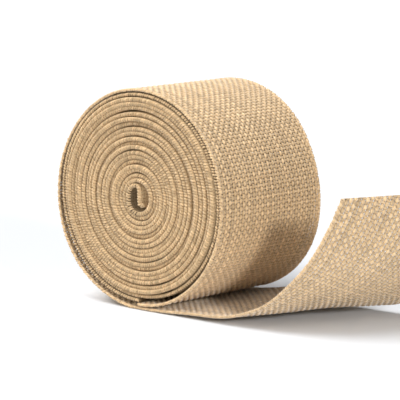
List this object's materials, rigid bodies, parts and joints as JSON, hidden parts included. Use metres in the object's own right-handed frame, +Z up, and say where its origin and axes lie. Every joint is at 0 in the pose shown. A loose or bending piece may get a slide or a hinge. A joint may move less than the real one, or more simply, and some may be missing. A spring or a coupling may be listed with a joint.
{
  "type": "ribbon roll",
  "caption": "Coreless roll of woven jute ribbon standing on its rim, with its free end drawn out and curling up.",
  "frame": {"origin": "on the floor, below the middle of the roll's axis, on the flat face that the roll and its free end rest on", "axes": "+X towards the free end, +Y along the roll's axis away from the viewer's end face, +Z up"},
  "size_m": [0.203, 0.095, 0.1088],
  "materials": {
    "outer_cloth": "plain woven natural jute, matt",
    "wound_cloth": "plain woven natural jute seen at its selvedge, matt",
    "tail_cloth": "plain woven natural jute, matt"
  },
  "bodies": {
    "outer": {"outer_turn": "outer_cloth", "tail_flat": "tail_cloth"},
    "roll": {"turn_02": "wound_cloth", "turn_03": "wound_cloth", "turn_04": "wound_cloth", "turn_05": "wound_cloth", "turn_06": "wound_cloth"},
    "roll_middle": {"turn_07": "wound_cloth", "turn_08": "wound_cloth", "turn_09": "wound_cloth", "turn_10": "wound_cloth", "turn_11": "wound_cloth"},
    "roll_inner": {"turn_12": "wound_cloth", "turn_13": "wound_cloth", "turn_14": "wound_cloth", "turn_15": "wound_cloth", "turn_16": "wound_cloth"},
    "core": {"turn_17": "wound_cloth", "turn_18": "wound_cloth", "turn_19": "wound_cloth", "turn_20": "wound_cloth", "eye_turn": "wound_cloth"},
    "inner_end": {"inner_end": "wound_cloth"},
    "tail_1": {"tail_curl_1": "tail_cloth"},
    "tail_2": {"tail_curl_2": "tail_cloth"},
    "tail_3": {"tail_curl_3": "tail_cloth"},
    "tail_4": {"tail_curl_4": "tail_cloth"}
  },
  "joints": [
    {"name": "roll_turn", "type": "hinge", "parent": "outer", "child": "roll", "pos_m": [0, 0, 0.05534], "axis": [0, -1, 0], "continuous": true},
    {"name": "core_push", "type": "slide", "parent": "roll", "child": "roll_middle", "axis": [0, -1, 0], "range_m": [-0.006, 0.006]},
    {"name": "core_push_2", "type": "slide", "parent": "roll_middle", "child": "roll_inner", "axis": [0, -1, 0], "range_m": [-0.006, 0.006]},
    {"name": "core_push_3", "type": "slide", "parent": "roll_inner", "child": "core", "axis": [0, -1, 0], "range_m": [-0.006, 0.006]},
    {"name": "inner_end_bend", "type": "hinge", "parent": "core", "child": "inner_end", "pos_m": [-0.00161, 0, 0.06151], "axis": [0, 1, 0], "range_deg": [-6, 6]},
    {"name": "tail_curl", "type": "hinge", "parent": "outer", "child": "tail_1", "pos_m": [0.04722, -0.02406, 0.0008], "axis": [-0.454, -0.891, 0], "range_deg": [-11, 4]},
    {"name": "tail_curl_2", "type": "hinge", "parent": "tail_1", "child": "tail_2", "pos_m": [0.06756, -0.03442, 0.00586], "axis": [-0.454, -0.891, 0], "range_deg": [-22, 8]},
    {"name": "tail_curl_3", "type": "hinge", "parent": "tail_2", "child": "tail_3", "pos_m": [0.08408, -0.04284, 0.02009], "axis": [-0.454, -0.891, 0], "range_deg": [-22, 8]},
    {"name": "tail_curl_4", "type": "hinge", "parent": "tail_3", "child": "tail_4", "pos_m": [0.0937, -0.04774, 0.04082], "axis": [-0.454, -0.891, 0], "range_deg": [-22, 8]}
  ],
  "couplings": [
    {"joint": "core_push_2", "follows": "core_push", "ratio": 1},
    {"joint": "core_push_3", "follows": "core_push", "ratio": 1},
    {"joint": "tail_curl_2", "follows": "tail_curl", "ratio": 2},
    {"joint": "tail_curl_3", "follows": "tail_curl", "ratio": 2},
    {"joint": "tail_curl_4", "follows": "tail_curl", "ratio": 2}
  ]
}
